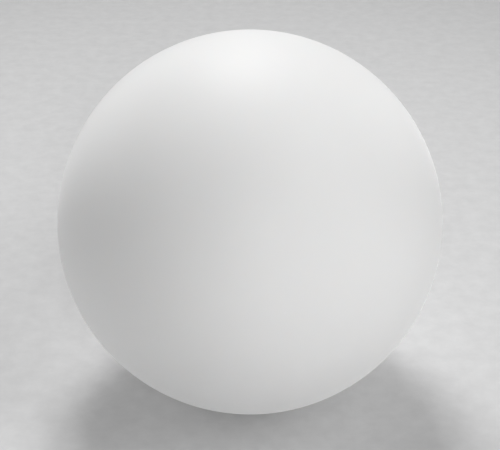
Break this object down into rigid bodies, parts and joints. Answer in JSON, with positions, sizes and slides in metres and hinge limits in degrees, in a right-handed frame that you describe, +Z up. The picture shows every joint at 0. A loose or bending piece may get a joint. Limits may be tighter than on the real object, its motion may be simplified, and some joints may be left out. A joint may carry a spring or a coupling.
{
  "type": "cue ball",
  "caption": "Plain white cue ball: a cast-resin cover over a filled core that holds soft-iron slugs for a magnetic ball return, with a pin ground flush.",
  "frame": {"origin": "centre of the ball", "axes": "+Z up, away from the end of the locating pin, which is the ball's lowest point; +X and +Y lie on mirror planes of the slugs"},
  "size_m": [0.0572, 0.0572, 0.0572],
  "materials": {
    "cover_resin": "satin",
    "pin_resin": "satin",
    "core_resin": "matte",
    "soft_iron": "satin"
  },
  "bodies": {
    "root": {"cover": "cover_resin", "core": "core_resin", "locating_pin": "pin_resin", "iron_slug_01": "soft_iron", "iron_slug_02": "soft_iron", "iron_slug_03": "soft_iron", "iron_slug_04": "soft_iron", "iron_slug_05": "soft_iron", "iron_slug_06": "soft_iron", "iron_slug_07": "soft_iron", "iron_slug_08": "soft_iron", "iron_slug_09": "soft_iron", "iron_slug_10": "soft_iron", "iron_slug_11": "soft_iron", "iron_slug_12": "soft_iron"}
  },
  "joints": []
}
